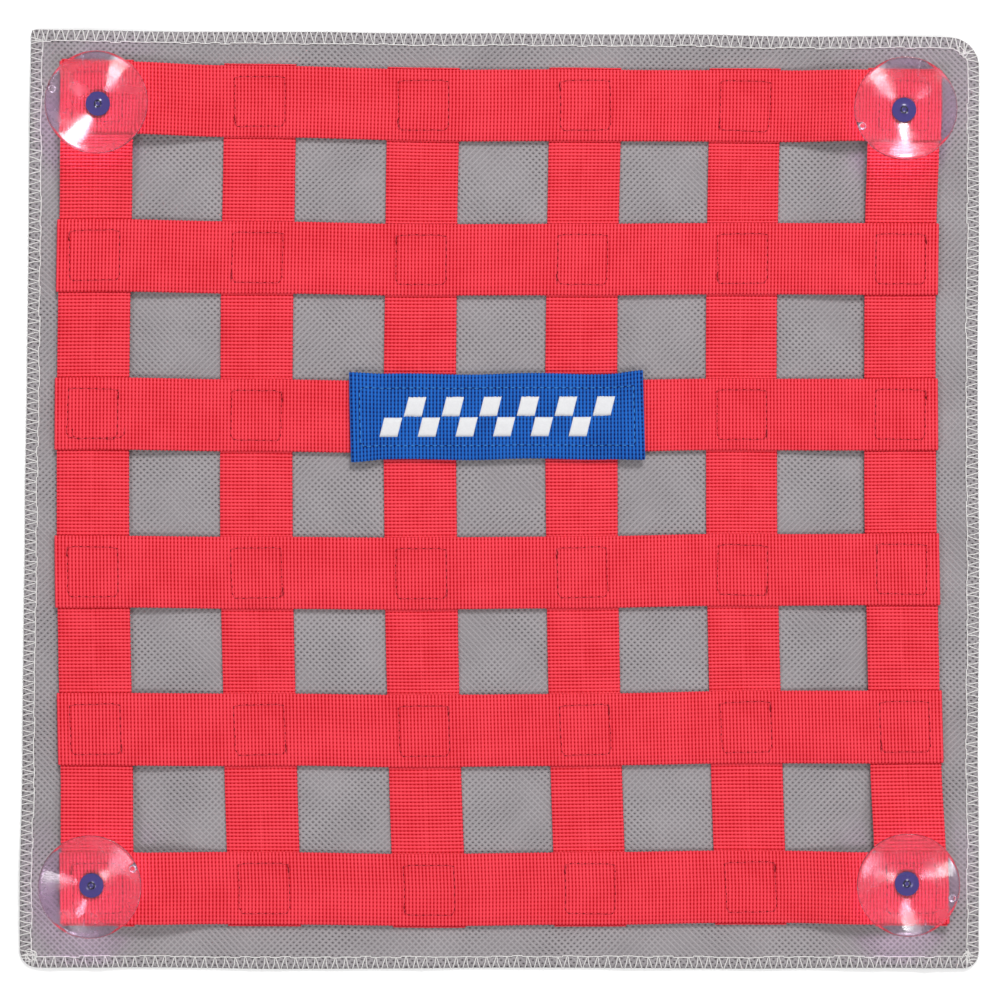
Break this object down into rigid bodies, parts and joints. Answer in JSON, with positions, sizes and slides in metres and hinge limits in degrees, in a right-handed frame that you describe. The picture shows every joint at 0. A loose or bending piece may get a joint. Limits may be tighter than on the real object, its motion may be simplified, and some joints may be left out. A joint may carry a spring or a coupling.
{
  "type": "webbing window net",
  "caption": "Square net of crossed red webbing sewn over a grey cloth panel with an overlocked edge, a blue woven label across it and a clear suction cup in each corner.",
  "frame": {"origin": "middle of the backing panel's underside, on the surface that the net lies on", "axes": "+Z out of the net towards the glass that the cups stick to, +Y towards the top edge, +X to the right seen from the cup side"},
  "size_m": [0.42, 0.412, 0.0164],
  "materials": {
    "grey_cloth": "embossed non-woven polypropylene",
    "edge_thread": "overlocking thread",
    "red_webbing": "ribbed polypropylene webbing",
    "red_thread": "sewing thread",
    "blue_webbing": "ribbed polypropylene webbing",
    "pale_blue_thread": "sewing thread",
    "white_thread": "satin embroidery",
    "clear_pvc": "clear soft moulded PVC",
    "clear_nylon": "clear nylon filament"
  },
  "bodies": {
    "net": {"backing_panel": "grey_cloth", "overlock_thread": "edge_thread", "column_strap_1": "red_webbing", "column_strap_2": "red_webbing", "column_strap_3": "red_webbing", "column_strap_4": "red_webbing", "column_strap_5": "red_webbing", "column_strap_6": "red_webbing", "row_strap_1": "red_webbing", "row_strap_2": "red_webbing", "row_strap_3": "red_webbing", "row_strap_4": "red_webbing", "row_strap_5": "red_webbing", "row_strap_6": "red_webbing", "box_stitches_row_1": "red_thread", "box_stitches_row_2": "red_thread", "box_stitches_row_3": "red_thread", "box_stitches_row_4": "red_thread", "box_stitches_row_5": "red_thread", "box_stitches_row_6": "red_thread", "label_patch": "blue_webbing", "label_seam": "pale_blue_thread", "label_embroidery": "white_thread", "corner_tacks": "clear_nylon"},
    "cup_top_left": {"suction_cup_top_left": "clear_pvc"},
    "cup_top_right": {"suction_cup_top_right": "clear_pvc"},
    "cup_bottom_left": {"suction_cup_bottom_left": "clear_pvc"},
    "cup_bottom_right": {"suction_cup_bottom_right": "clear_pvc"}
  },
  "joints": [
    {"name": "swivel_top_left", "type": "hinge", "parent": "net", "child": "cup_top_left", "pos_m": [-0.1772, 0.1742, 0.0069], "axis": [0, 0, 1], "continuous": true},
    {"name": "swivel_top_right", "type": "hinge", "parent": "net", "child": "cup_top_right", "pos_m": [0.1763, 0.1715, 0.0069], "axis": [0, 0, 1], "continuous": true},
    {"name": "swivel_bottom_left", "type": "hinge", "parent": "net", "child": "cup_bottom_left", "pos_m": [-0.18, -0.1686, 0.0069], "axis": [0, 0, 1], "continuous": true},
    {"name": "swivel_bottom_right", "type": "hinge", "parent": "net", "child": "cup_bottom_right", "pos_m": [0.1775, -0.1678, 0.0069], "axis": [0, 0, 1], "continuous": true}
  ]
}
